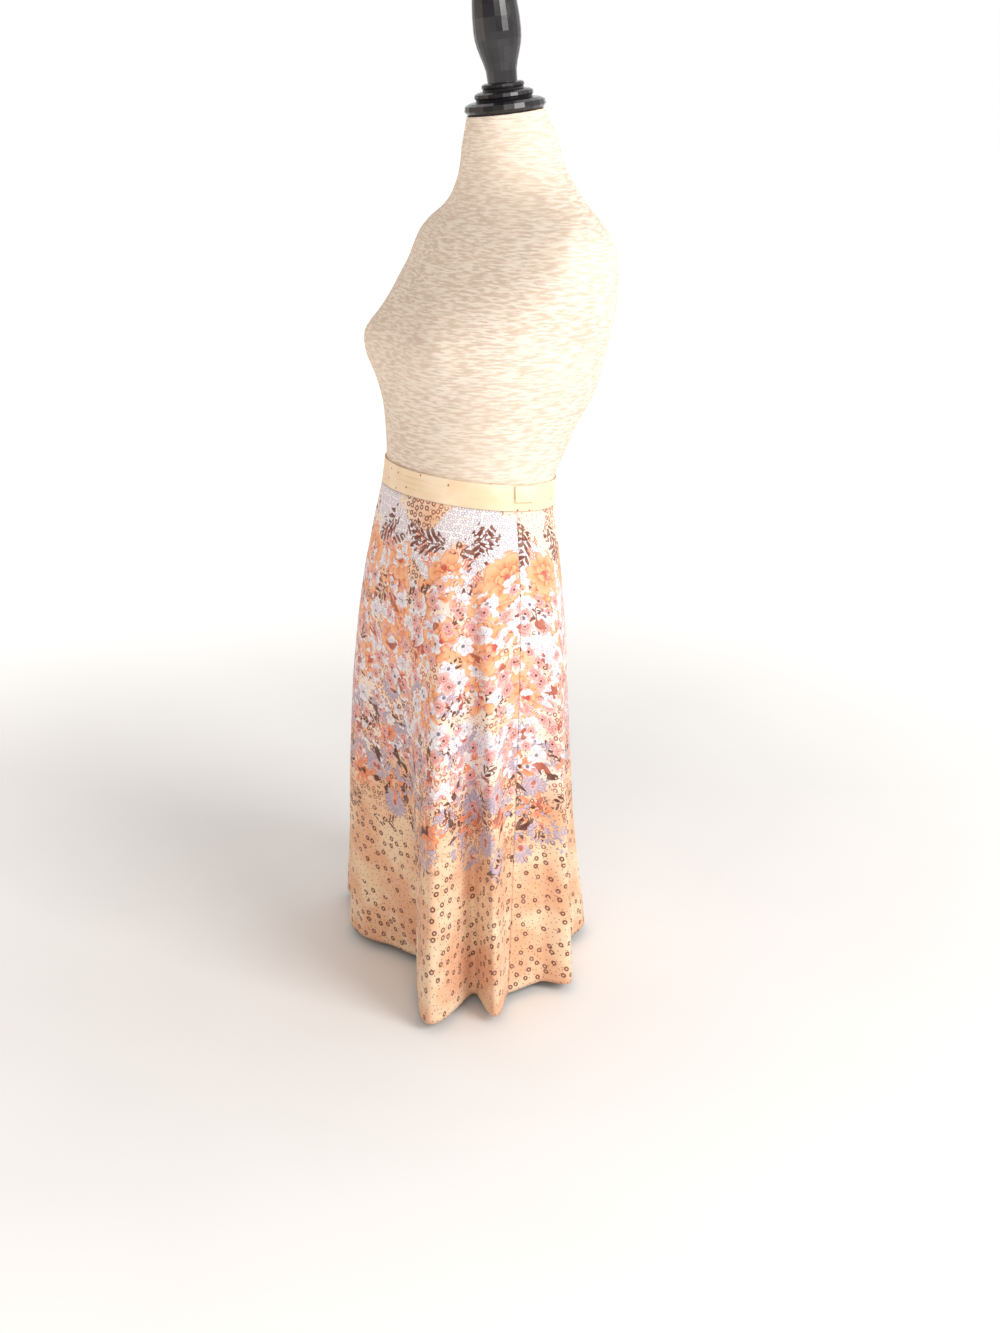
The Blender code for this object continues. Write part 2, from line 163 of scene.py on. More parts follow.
lamps = {
    # name: azimuth, distance, height, size, watts, colour
    "key": (112, 2.6, 1.9, 1.4, 60, (1.0, 0.985, 0.96)),
    "side": (62, 3.2, 2.4, 2.0, 26, (1.0, 0.98, 0.95)),
    "warm": (-30, 2.4, 1.0, 1.4, 6, (1.0, 0.72, 0.50)),
}
studio = {"bright": 1.0, "dim": 0.36, "floorGlow": 0.62, "floorNear": 0.3, "floorReach": 2.4}


def lightStage():
    for name, (azimuth, distance, height, size, watts, colour) in lamps.items():
        turn = math.radians(azimuth)
        place = (distance * math.sin(turn), -distance * math.cos(turn), height)
        tilt = math.atan2(distance, height - 0.55)
        bpy.ops.object.light_add(type="AREA", location=place, rotation=(tilt, 0, turn))
        lamp = bpy.context.object
        lamp.name = name
        lamp.data.size = size
        lamp.data.energy = watts
        lamp.data.color = colour
    world = bpy.data.worlds.new("studio")
    bpy.context.scene.world = world
    world.use_nodes = True
    tree = world.node_tree
    sky = tree.nodes["Background"]
    way = tree.nodes.new("ShaderNodeTexCoord").outputs["Generated"]
    behind = vectors(tree, "DOT_PRODUCT", way, (-0.62, 0.78, 0.0))  # the wall behind the form is lit
    share = between(tree, behind, -0.5, 0.75)
    wall = mixed(tree, share, (0.98, 0.90, 0.82), (1.0, 1.0, 1.0))
    link(tree, wall, sky.inputs["Color"])
    link(tree, between(tree, behind, -0.5, 0.75, studio["dim"], studio["bright"]), sky.inputs["Strength"])
    bpy.context.scene.view_settings.view_transform = "Standard"
    bpy.ops.mesh.primitive_circle_add(vertices=96, radius=40, fill_type="NGON")
    floor = bpy.context.object
    floor.name = "floor"
    paper, tree, shader = newMaterial("paper_floor", (0.85, 0.85, 0.85), 0.9)
    grain = noise(tree, placeOf(tree), 3.0, 2)
    link(tree, between(tree, grain, 0.3, 0.7, 0.84, 0.86), shader.inputs["Base Color"])
    away = vectors(tree, "LENGTH", placeOf(tree))
    glow = between(tree, away, studio["floorNear"], studio["floorReach"], 0.0, studio["floorGlow"])
    link(tree, glow, shader.inputs["Emission Strength"])
    shader.inputs["Emission Color"].default_value = (1, 1, 1, 1)
    floor.data.materials.append(paper)
    print("lights and floor placed")


def newMaterial(name, colour, roughness):
    material = bpy.data.materials.new(name)
    material.use_nodes = True
    shader = material.node_tree.nodes["Principled BSDF"]
    shader.inputs["Base Color"].default_value = (*colour, 1)
    shader.inputs["Roughness"].default_value = roughness
    return material, material.node_tree, shader


def link(tree, value, socket):
    if isinstance(value, bpy.types.NodeSocket):
        tree.links.new(value, socket)
    elif isinstance(value, (tuple, list)) and len(value) == 3 and socket.type == "RGBA":
        socket.default_value = (*value, 1)
    else:
        socket.default_value = value


def sums(tree, how, *values):
    node = tree.nodes.new("ShaderNodeMath")
    node.operation = how
    for value, socket in zip(values, node.inputs):
        link(tree, value, socket)
    return node.outputs[0]


def vectors(tree, how, *values):
    node = tree.nodes.new("ShaderNodeVectorMath")
    node.operation = how
    sockets = [node.inputs[0], node.inputs["Scale"]] if how == "SCALE" else node.inputs
    for value, socket in zip(values, sockets):
        link(tree, value, socket)
    return node.outputs["Value"] if how in ("LENGTH", "DOT_PRODUCT") else node.outputs[0]


def between(tree, value, low, high, start=0.0, end=1.0):
    node = tree.nodes.new("ShaderNodeMapRange")
    node.interpolation_type = "SMOOTHSTEP"
    for part, socket in zip((value, low, high, start, end), node.inputs):
        link(tree, part, socket)
    return node.outputs[0]


def mixed(tree, share, under, over, how="MIX"):
    node = tree.nodes.new("ShaderNodeMix")
    node.data_type = "RGBA"
    node.blend_type = how
    link(tree, share, node.inputs[0])
    link(tree, under, node.inputs[6])
    link(tree, over, node.inputs[7])
    return node.outputs[2]


def parts(tree, vector):
    node = tree.nodes.new("ShaderNodeSeparateXYZ")
    link(tree, vector, node.inputs[0])
    return node.outputs


def joined(tree, x, y, z=0.0):
    node = tree.nodes.new("ShaderNodeCombineXYZ")
    for value, socket in zip((x, y, z), node.inputs):
        link(tree, value, socket)
    return node.outputs[0]


def noise(tree, vector, scale, detail=2.0, output="Fac"):
    node = tree.nodes.new("ShaderNodeTexNoise")
    link(tree, vector, node.inputs["Vector"])
    link(tree, scale, node.inputs["Scale"])
    node.inputs["Detail"].default_value = detail
    return node.outputs[output]


def onTop(tree, place, colour):
    # the next layer waits for the ink under it, which keeps the shader's working memory small
    node = tree.nodes.new("ShaderNodeSeparateColor")
    link(tree, colour, node.inputs[0])
    hair = sums(tree, "MULTIPLY", node.outputs[0], 0.0000001)
    return vectors(tree, "ADD", place, joined(tree, hair, 0.0))


def placeOf(tree):
    return tree.nodes.new("ShaderNodeTexCoord").outputs["Object"]


def cutPlace(tree):
    node = tree.nodes.new("ShaderNodeUVMap")
    node.uv_map = "cut"
    return node.outputs[0]


def bumped(tree, shader, height, distance, strength=1.0):
    node = tree.nodes.new("ShaderNodeBump")
    node.inputs["Strength"].default_value = strength
    node.inputs["Distance"].default_value = distance
    link(tree, height, node.inputs["Height"])
    link(tree, node.outputs[0], shader.inputs["Normal"])


def newGroup(name, takes, gives):
    tree = bpy.data.node_groups.new(name, "ShaderNodeTree")
    for label, kind in takes:
        tree.interface.new_socket(name=label, in_out="INPUT", socket_type="NodeSocket" + kind)
    for label, kind in gives:
        tree.interface.new_socket(name=label, in_out="OUTPUT", socket_type="NodeSocket" + kind)
    entry = tree.nodes.new("NodeGroupInput")
    leave = tree.nodes.new("NodeGroupOutput")
    return tree, entry.outputs, leave.inputs


def useGroup(tree, group, **values):
    node = tree.nodes.new("ShaderNodeGroup")
    node.node_tree = group
    for label, value in values.items():
        link(tree, value, node.inputs[label])
    return node.outputs


def makeScatter():
    # one motif to a square, pushed off its middle and turned, in metres on the cut cloth
    takes = [("Place", "Vector"), ("Cell", "Float"), ("Seed", "Float"), ("Push", "Float"), ("Turn", "Float")]
    gives = [("Local", "Vector"), ("Middle", "Vector"), ("Chance", "Float"), ("Other", "Float")]
    tree, got, give = newGroup("scatter", takes, gives)
    scaled = vectors(tree, "DIVIDE", got["Place"], joined(tree, got["Cell"], got["Cell"], 1.0))
    offset = joined(tree, got["Seed"], sums(tree, "MULTIPLY", got["Seed"], 1.618))
    shifted = vectors(tree, "ADD", scaled, offset)
    square = vectors(tree, "FLOOR", shifted)
    toss = tree.nodes.new("ShaderNodeTexWhiteNoise")
    link(tree, vectors(tree, "ADD", square, joined(tree, 0.0, 0.0, got["Seed"])), toss.inputs["Vector"])
    push = vectors(tree, "SUBTRACT", toss.outputs["Color"], (0.5, 0.5, 0.5))
    push = vectors(tree, "SCALE", push, got["Push"])
    middle = vectors(tree, "ADD", vectors(tree, "ADD", square, (0.5, 0.5, 0.0)), push)
    away = vectors(tree, "SCALE", vectors(tree, "SUBTRACT", shifted, middle), got["Cell"])
    away = vectors(tree, "MULTIPLY", away, (1.0, 1.0, 0.0))
    again = tree.nodes.new("ShaderNodeTexWhiteNoise")
    link(tree, vectors(tree, "ADD", square, joined(tree, 3.7, 9.1, got["Seed"])), again.inputs["Vector"])
    chances = parts(tree, again.outputs["Color"])
    turned = tree.nodes.new("ShaderNodeVectorRotate")
    turned.rotation_type = "Z_AXIS"
    link(tree, away, turned.inputs["Vector"])
    angle = sums(tree, "MULTIPLY", sums(tree, "SUBTRACT", chances[2], 0.5), got["Turn"])
    link(tree, angle, turned.inputs["Angle"])
    link(tree, turned.outputs[0], give["Local"])
    back = vectors(tree, "SUBTRACT", middle, offset)
    link(tree, vectors(tree, "SCALE", back, got["Cell"]), give["Middle"])
    link(tree, chances[0], give["Chance"])
    link(tree, chances[1], give["Other"])
    return tree


def makeKeep():
    # 1 where a motif is kept: by chance, inside a band down the cloth
    takes = [("Middle", "Vector"), ("Chance", "Float"), ("Top", "Float"), ("Bottom", "Float"),
             ("Share", "Float")]
    tree, got, give = newGroup("keep", takes, [("Kept", "Float")])
    down = parts(tree, got["Middle"])[1]
    fade = 0.02

    def past(edge, start, end):
        low = sums(tree, "SUBTRACT", got[edge], fade)
        high = sums(tree, "ADD", got[edge], fade)
        return between(tree, down, low, high, start, end)

    inside = sums(tree, "MULTIPLY", past("Top", 0.0, 1.0), past("Bottom", 1.0, 0.0))
    share = sums(tree, "MULTIPLY", inside, got["Share"])
    link(tree, sums(tree, "LESS_THAN", got["Chance"], share), give["Kept"])
    return tree


def makeBloom():
    # a flower head: an outer and an inner round of petals about a dark heart
    takes = [("Local", "Vector"), ("Radius", "Float"), ("Petals", "Float"), ("Notch", "Float"),
             ("Point", "Float"), ("Inner", "Float"), ("Petal", "Color"), ("Tip", "Color"),
             ("Line", "Color"), ("Heart", "Color")]
    tree, got, give = newGroup("bloom", takes, [("Colour", "Color"), ("Mask", "Float")])
    x, y, z = parts(tree, got["Local"])
    reach = sums(tree, "DIVIDE", vectors(tree, "LENGTH", got["Local"]), got["Radius"])
    turn = sums(tree, "MULTIPLY", sums(tree, "DIVIDE", sums(tree, "ARCTAN2", y, x), math.tau), got["Petals"])

    def petals(shift, size):
        share = sums(tree, "FRACT", sums(tree, "ADD", turn, shift))
        beside = sums(tree, "ABSOLUTE", sums(tree, "SUBTRACT", share, 0.5))
        beside = sums(tree, "MULTIPLY", beside, 2.0)
        notch = sums(tree, "MULTIPLY", sums(tree, "POWER", beside, got["Point"]), got["Notch"])
        edge = sums(tree, "MULTIPLY", sums(tree, "SUBTRACT", 1.0, notch), size)
        return beside, sums(tree, "DIVIDE", reach, edge)

    outerBeside, outer = petals(10.0, 1.0)
    link(tree, between(tree, outer, 0.95, 1.03, 1.0, 0.0), give["Mask"])
    colour = mixed(tree, between(tree, outer, 0.35, 0.95), got["Petal"], got["Tip"])
    deeper = between(tree, outer, 1.0, 0.45, 0.25, 1.0)
    gap = sums(tree, "MULTIPLY", between(tree, outerBeside, 0.72, 0.98), deeper)
    colour = mixed(tree, gap, colour, got["Line"])
    fainter = between(tree, outer, 0.85, 0.4, 0.0, 0.6)
    rib = sums(tree, "MULTIPLY", between(tree, outerBeside, 0.16, 0.04), fainter)
    colour = mixed(tree, rib, colour, got["Line"])
    colour = mixed(tree, between(tree, outer, 0.88, 0.98, 0.0, 0.55), colour, got["Line"])
    innerBeside, inner = petals(10.5, got["Inner"])
    top = mixed(tree, between(tree, inner, 0.2, 0.9), got["Petal"], got["Tip"])
    top = mixed(tree, between(tree, innerBeside, 0.72, 0.98, 0.0, 0.85), top, got["Line"])
    top = mixed(tree, between(tree, inner, 0.84, 0.97, 0.0, 0.7), top, got["Line"])
    colour = mixed(tree, between(tree, inner, 0.97, 1.01, 1.0, 0.0), colour, top)
    heart = between(tree, reach, 0.12, 0.26, 1.0, 0.0)
    link(tree, mixed(tree, heart, colour, got["Heart"]), give["Colour"])
    return tree


def makeSprig():
    # a curved stem with paired leaflets, shorter towards both ends
    takes = [("Local", "Vector"), ("Length", "Float"), ("Pairs", "Float"), ("Slant", "Float"),
             ("Leaf", "Float"), ("Fat", "Float"), ("Bend", "Float")]
    tree, got, give = newGroup("sprig", takes, [("Mask", "Float")])
    half = sums(tree, "MULTIPLY", got["Length"], 0.5)
    unit = vectors(tree, "DIVIDE", got["Local"], joined(tree, half, half, 1.0))
    x, y, z = parts(tree, unit)
    along = sums(tree, "MULTIPLY", x, x)
    y = sums(tree, "SUBTRACT", y, sums(tree, "MULTIPLY", along, got["Bend"]))
    off = sums(tree, "ABSOLUTE", y)
    taper = sums(tree, "SQRT", sums(tree, "MAXIMUM", sums(tree, "SUBTRACT", 1.0, along), 0.0001))
    t = sums(tree, "DIVIDE", off, sums(tree, "MULTIPLY", taper, got["Leaf"]))
    slanted = sums(tree, "SUBTRACT", x, sums(tree, "MULTIPLY", off, got["Slant"]))
    row = sums(tree, "MULTIPLY", slanted, got["Pairs"])
    row = sums(tree, "ADD", row, sums(tree, "MULTIPLY", sums(tree, "SIGN", y), 0.2))
    share = sums(tree, "FRACT", sums(tree, "ADD", row, 20.0))
    beside = sums(tree, "ABSOLUTE", sums(tree, "SUBTRACT", share, 0.5))
    beside = sums(tree, "MULTIPLY", beside, 2.0)
    swell = sums(tree, "SINE", sums(tree, "MULTIPLY", sums(tree, "MINIMUM", t, 1.0), math.pi))
    swell = sums(tree, "MULTIPLY", sums(tree, "POWER", sums(tree, "MAXIMUM", swell, 0.0), 0.7), got["Fat"])
    leaf = between(tree, sums(tree, "SUBTRACT", beside, swell), -0.08, 0.08, 1.0, 0.0)
    leaf = sums(tree, "MULTIPLY", leaf, between(tree, t, 0.94, 1.0, 1.0, 0.0))
    leaf = sums(tree, "MULTIPLY", leaf, sums(tree, "LESS_THAN", along, 0.97))
    stem = between(tree, off, 0.012, 0.034, 1.0, 0.0)
    stem = sums(tree, "MULTIPLY", stem, sums(tree, "LESS_THAN", along, 1.0))
    link(tree, sums(tree, "MAXIMUM", leaf, stem), give["Mask"])
    return tree


def makeLeaf():
    # a single curled leaf
    takes = [("Local", "Vector"), ("Length", "Float"), ("Fat", "Float"), ("Bend", "Float")]
    tree, got, give = newGroup("leaf", takes, [("Mask", "Float")])
    half = sums(tree, "MULTIPLY", got["Length"], 0.5)
    x, y, z = parts(tree, vectors(tree, "DIVIDE", got["Local"], joined(tree, half, half, 1.0)))
    along = sums(tree, "MULTIPLY", x, x)
    y = sums(tree, "SUBTRACT", y, sums(tree, "MULTIPLY", sums(tree, "SUBTRACT", along, 0.4), got["Bend"]))
    lean = sums(tree, "SUBTRACT", 1.0, sums(tree, "MULTIPLY", x, 0.45))
    room = sums(tree, "MULTIPLY", sums(tree, "MAXIMUM", sums(tree, "SUBTRACT", 1.0, along), 0.0), got["Fat"])
    room = sums(tree, "MULTIPLY", room, lean)
    past = sums(tree, "SUBTRACT", sums(tree, "ABSOLUTE", y), room)
    link(tree, between(tree, past, -0.02, 0.03, 1.0, 0.0), give["Mask"])
    return tree


def makeRings():
    # loose rings, and the same ones filled
    takes = [("Place", "Vector"), ("Cell", "Float"), ("Loose", "Float"), ("Outer", "Float"),
             ("Inner", "Float")]
    gives = [("Ring", "Float"), ("Disc", "Float"), ("Chance", "Float")]
    tree, got, give = newGroup("rings", takes, gives)
    cells = tree.nodes.new("ShaderNodeTexVoronoi")
    cells.voronoi_dimensions = "2D"
    link(tree, got["Place"], cells.inputs["Vector"])
    link(tree, sums(tree, "DIVIDE", 1.0, got["Cell"]), cells.inputs["Scale"])
    link(tree, got["Loose"], cells.inputs["Randomness"])
    away = sums(tree, "MULTIPLY", cells.outputs["Distance"], got["Cell"])
    blur = 0.0003

    def within(edge):
        low = sums(tree, "SUBTRACT", got[edge], blur)
        high = sums(tree, "ADD", got[edge], blur)
        return between(tree, away, low, high, 1.0, 0.0)

    disc = within("Outer")
    hole = within("Inner")
    link(tree, sums(tree, "MAXIMUM", sums(tree, "SUBTRACT", disc, hole), 0.0), give["Ring"])
    link(tree, disc, give["Disc"])
    link(tree, parts(tree, cells.outputs["Color"])[0], give["Chance"])
    return tree


motifs = {}


def makeMotifs():
    motifs["scatter"] = makeScatter()
    motifs["keep"] = makeKeep()
    motifs["bloom"] = makeBloom()
    motifs["sprig"] = makeSprig()
    motifs["leaf"] = makeLeaf()
    motifs["rings"] = makeRings()
    print("print motifs made")


inks = {
    "peach": (0.80, 0.43, 0.25),
    "cream": (0.88, 0.64, 0.43),
    "pale": (0.90, 0.72, 0.60),
    "white": (0.88, 0.82, 0.82),
    "brown": (0.19, 0.055, 0.035),
    "umber": (0.12, 0.035, 0.022),
    "rust": (0.45, 0.11, 0.07),
    "coral": (0.80, 0.24, 0.13),
    "orange": (0.86, 0.31, 0.13),
    "apricot": (0.90, 0.48, 0.25),
    "red": (0.55, 0.08, 0.06),
    "pink": (0.70, 0.26, 0.24),
    "rose": (0.84, 0.52, 0.50),
    "lilac": (0.44, 0.38, 0.49),
    "mist": (0.76, 0.69, 0.75),
    "slate": (0.17, 0.15, 0.21),
}

# Flower heads from the back of the print to the front: size of square, radius, petals, notch,
# point, inner round, top and bottom of their band, share kept, seeds, then the inks
blooms = {
    "dahlia": (0.062, 0.0215, 13, 0.30, 1.5, 0.62, 0.13, 0.32, 0.55, (3.3,),
               "mist", "white", "lilac", "pink"),
    "hibiscus": (0.068, 0.0270, 5, 0.34, 3.0, 0.46, 0.06, 0.22, 0.75, (8.1, 21.9),
                 "orange", "apricot", "red", "red"),
    "aster": (0.060, 0.0205, 17, 0.30, 1.3, 0.64, 0.22, 0.40, 0.65, (5.7, 17.2),
              "rose", "lilac", "slate", "rust"),
    "lily": (0.064, 0.0240, 6, 0.66, 1.4, 0.45, 0.26, 0.385, 0.45, (13.6,),
             "coral", "orange", "red", "umber"),
    "anemone": (0.036, 0.0125, 5, 0.24, 3.4, 0.34, 0.08, 0.30, 0.55, (2.9, 14.4),
                "mist", "white", "lilac", "slate"),
    "poppy": (0.028, 0.0085, 5, 0.30, 3.0, 0.40, 0.09, 0.33, 0.50, (10.8, 27.1),
              "pink", "rose", "red", "umber"),
}

# Stems with leaflets: size of square, length, pairs, slant, leaf, fatness, bend, top and bottom,
# share kept, seed, ink
sprigs = {
    "highFern": (0.064, 0.058, 6.5, 1.2, 0.36, 0.78, 0.16, 0.03, 0.24, 0.60, 5.3, "coral"),
    "lowFern": (0.070, 0.054, 6.0, 1.1, 0.38, 0.72, -0.20, 0.24, 0.36, 0.50, 8.8, "coral"),
    "highSprig": (0.066, 0.062, 3.4, 0.9, 0.50, 0.72, 0.22, 0.00, 0.15, 0.65, 2.4, "brown"),
    "lowSprig": (0.060, 0.046, 3.2, 0.9, 0.44, 0.70, -0.25, 0.17, 0.40, 0.55, 6.1, "umber"),
}

# Single leaves: size of square, length, fatness, bend, top and bottom, share kept, seed, ink
leaves = {
    "curled": (0.048, 0.036, 0.24, 0.5, 0.26, 0.41, 0.50, 14.2, "umber"),
    "loose": (0.044, 0.026, 0.32, 0.3, 0.10, 0.36, 0.35, 15.9, "rust"),
}

# Rings of the print: distance apart, looseness, outer and inner radius (below zero: a full dot)
ringSizes = {
    "speck": (0.0070, 0.8, 0.0008, -0.01),
    "cloud": (0.0050, 0.45, 0.0020, 0.0012),
    "field": (0.0080, 0.5, 0.0029, 0.0014),
    "hem": (0.0145, 0.7, 0.0032, 0.0012),
    "band": (0.021, 0.9, 0.0012, -0.01),
}


def ringLayer(tree, place, kind):
    cell, loose, outer, inner = ringSizes[kind]
    return useGroup(tree, motifs["rings"], Place=place, Cell=cell, Loose=loose, Outer=outer, Inner=inner)


def placed(tree, place, cell, seed, push, top, bottom, share):
    spot = useGroup(tree, motifs["scatter"], Place=place, Cell=cell, Seed=seed, Push=push, Turn=math.tau)
    kept = useGroup(tree, motifs["keep"], Middle=spot["Middle"], Chance=spot["Chance"], Top=top,
                    Bottom=bottom, Share=share)["Kept"]
    return spot, kept


def printColour(tree):
    # the ink laid down at each place of the cut cloth
    flat = cutPlace(tree)
    wobble = vectors(tree, "SUBTRACT", noise(tree, flat, 110.0, 1, "Color"), (0.5, 0.5, 0.5))
    place = vectors(tree, "ADD", flat, vectors(tree, "SCALE", wobble, 0.0011))
    down = parts(tree, flat)[1]
    wash = noise(tree, flat, 16.0, 3)
    patches = noise(tree, vectors(tree, "ADD", flat, (3.1, 7.7, 0.0)), 13.0, 2)
    rivers = noise(tree, vectors(tree, "ADD", flat, (9.3, 1.2, 0.0)), 11.0, 2)

    ground = mixed(tree, between(tree, wash, 0.40, 0.62), inks["peach"], inks["cream"])
    lightUp = sums(tree, "MULTIPLY", between(tree, down, 0.36, 0.30), between(tree, patches, 0.40, 0.58))
    colour = mixed(tree, lightUp, ground, inks["pale"])

    # small dots everywhere
    place = onTop(tree, place, colour)
    dots = ringLayer(tree, place, "speck")
    colour = mixed(tree, sums(tree, "MULTIPLY", dots["Disc"], 0.8), colour, inks["brown"])

    # clouds of little grey rings on white, high on the skirt
    cloud = sums(tree, "MULTIPLY", between(tree, rivers, 0.50, 0.53), between(tree, down, 0.22, 0.16))
    colour = mixed(tree, cloud, colour, inks["white"])
    place = onTop(tree, place, colour)
    rings = ringLayer(tree, place, "cloud")
    colour = mixed(tree, sums(tree, "MULTIPLY", rings["Ring"], cloud), colour, inks["lilac"])

    # fields of brown and coral rings
    field = between(tree, sums(tree, "ABSOLUTE", sums(tree, "SUBTRACT", patches, 0.47)), 0.085, 0.065)
    field = sums(tree, "MULTIPLY", field, between(tree, down, 0.42, 0.36))
    field = sums(tree, "MULTIPLY", field, sums(tree, "SUBTRACT", 1.0, cloud))
    place = onTop(tree, place, colour)
    rings = ringLayer(tree, place, "field")
    tint = mixed(tree, between(tree, wash, 0.46, 0.52), inks["brown"], inks["rust"])
    colour = mixed(tree, sums(tree, "MULTIPLY", rings["Ring"], field), colour, tint)

    # scattered rings towards the hem, with bare ground between
    low = sums(tree, "MULTIPLY", between(tree, down, 0.37, 0.40), sums(tree, "SUBTRACT", 1.0, field))
    place = onTop(tree, place, colour)
    rings = ringLayer(tree, place, "hem")
    some = sums(tree, "LESS_THAN", rings["Chance"], between(tree, patches, 0.36, 0.56, 0.35, 0.95))
    low = sums(tree, "MULTIPLY", low, some)
    colour = mixed(tree, sums(tree, "MULTIPLY", rings["Ring"], low), colour, inks["brown"])

    for cell, length, pairs, slant, leaf, fat, bend, top, bottom, share, seed, ink in sprigs.values():
        place = onTop(tree, place, colour)
        spot, kept = placed(tree, place, cell, seed, 0.2, top, bottom, share)
        shape = useGroup(tree, motifs["sprig"], Local=spot["Local"], Length=length, Pairs=pairs,
                         Slant=slant, Leaf=leaf, Fat=fat, Bend=bend)["Mask"]
        colour = mixed(tree, sums(tree, "MULTIPLY", shape, kept), colour, inks[ink])

    for cell, radius, petals, notch, point, inner, top, bottom, share, seeds, *tints in blooms.values():
        petal, tip, line, heart = [inks[t] for t in tints]
        for seed in seeds:
            place = onTop(tree, place, colour)
            spot, kept = placed(tree, place, cell, seed, 0.22, top, bottom, share)
            size = sums(tree, "MULTIPLY", radius, between(tree, spot["Other"], 0.0, 1.0, 0.82, 1.12))
            head = useGroup(tree, motifs["bloom"], Local=spot["Local"], Radius=size, Petals=float(petals),
                            Notch=notch, Point=point, Inner=inner, Petal=petal, Tip=tip, Line=line, Heart=heart)
            colour = mixed(tree, sums(tree, "MULTIPLY", head["Mask"], kept), colour, head["Colour"])

    for cell, length, fat, bend, top, bottom, share, seed, ink in leaves.values():
        place = onTop(tree, place, colour)
        spot, kept = placed(tree, place, cell, seed, 0.3, top, bottom, share)
        shape = useGroup(tree, motifs["leaf"], Local=spot["Local"], Length=length, Fat=fat, Bend=bend)["Mask"]
        colour = mixed(tree, sums(tree, "MULTIPLY", shape, kept), colour, inks[ink])

    # the ink is a little uneven, as it is on soft cloth
    uneven = noise(tree, flat, 90.0, 2)
    return mixed(tree, between(tree, uneven, 0.35, 0.7, 0.0, 0.14), colour, inks["pale"])


def makePrintCloth():
    material, tree, shader = newMaterial("print_cloth", (0.8, 0.5, 0.35), 0.78)
    link(tree, printColour(tree), shader.inputs["Base Color"])
    shader.inputs["Sheen Weight"].default_value = 0.12
    shader.inputs["Sheen Roughness"].default_value = 0.5
    shader.inputs["Specular IOR Level"].default_value = 0.3
    crepe = noise(tree, placeOf(tree), 900.0, 2)
    bumped(tree, shader, crepe, 0.0004, 0.5)
    return material


def makeBandCloth():
    material, tree, shader = newMaterial("band_cloth", (0.85, 0.66, 0.45), 0.78)
    flat = cutPlace(tree)
    wash = noise(tree, flat, 22.0, 2)
    colour = mixed(tree, between(tree, wash, 0.4, 0.65), (0.88, 0.66, 0.44), (0.93, 0.76, 0.56))
    dots = ringLayer(tree, flat, "band")
    some = sums(tree, "LESS_THAN", dots["Chance"], 0.55)
    colour = mixed(tree, sums(tree, "MULTIPLY", dots["Disc"], some), colour, inks["rust"])
    link(tree, colour, shader.inputs["Base Color"])
    shader.inputs["Sheen Weight"].default_value = 0.12
    shader.inputs["Specular IOR Level"].default_value = 0.3
    crepe = noise(tree, placeOf(tree), 900.0, 2)
    bumped(tree, shader, crepe, 0.0004, 0.5)
    return material


skirt = {
    "length": 0.580,
    "columns": 230,
    "rows": 120,
    "seamAtWaist": 2.0,
    "seamSwing": 10.5,
    "seamLean": 1.4,
}


def hemReach(degrees):
    turned = np.concatenate([hemFolds[:, 0] - 360, hemFolds[:, 0], hemFolds[:, 0] + 360])
    return throughRows(turned, np.tile(hemFolds[:, 1], 3), degrees)


def skirtPoints(degrees, drop):
    degrees, drop = np.broadcast_arrays(np.asarray(degrees, float), np.asarray(drop, float))
    angle = np.radians(degrees)
    columns = [throughRows(skirtDrape[:, 0], skirtDrape[:, k], drop) for k in range(1, 5)]
    halfWidth, front, back, opened = columns
    fold = hemReach(degrees) - ovalReach(angle, *skirtDrape[-1, 1:4])
    reach = ovalReach(angle, halfWidth, front, back) + fold * opened
    height = figure["waist"] - drop
    under = formPoints(degrees, np.maximum(height, figure["formBottom"]))
    underReach = np.hypot(under[..., 0], under[..., 1] - figure["axisY"])
    least = np.where(height > figure["formBottom"], underReach + figure["cloth"] + figure["bandProud"], 0)
    reach = np.maximum(reach, least)
    level = figure["waistTilt"] * (1 - drop / skirt["length"]) ** 2
    y = reach * np.sin(angle)
    return np.stack([reach * np.cos(angle), figure["axisY"] + y, height + level * y], -1)


def clothGrid(name, points, cut):
    # a flat grid bent row by row to the cloth's shape; the first row is the top
    rows, columns = points.shape[:2]
    bpy.ops.object.select_all(action="DESELECT")
    bpy.ops.mesh.primitive_grid_add(x_subdivisions=columns - 1, y_subdivisions=rows - 1, size=1)
    piece = bpy.context.object
    piece.name = name
    piece.data.name = name
    piece.data.vertices.foreach_set("co", points[::-1].reshape(-1))
    flat = cut[::-1].reshape(-1, 2)
    corners = np.empty(len(piece.data.loops), int)
    piece.data.loops.foreach_get("vertex_index", corners)
    piece.data.uv_layers[0].name = "cut"
    piece.data.uv_layers[0].data.foreach_set("uv", flat[corners].reshape(-1))
    piece.data.update()
    bpy.ops.object.shade_smooth()
    thick = piece.modifiers.new("wall", "SOLIDIFY")
    thick.thickness = figure["cloth"]
    thick.offset = -1
    thick.use_even_offset = True
    bpy.ops.object.modifier_apply(modifier=thick.name)
    return piece


def seamAngle(side, drop):
    swing = skirt["seamAtWaist"] + skirt["seamSwing"] * drop / skirt["length"]
    return -swing if side > 0 else -180 + swing


def arcLengths(points):
    steps = np.linalg.norm(np.diff(points, axis=-2), axis=-1)
    return np.concatenate([np.zeros(steps.shape[:-1] + (1,)), np.cumsum(steps, -1)], -1)


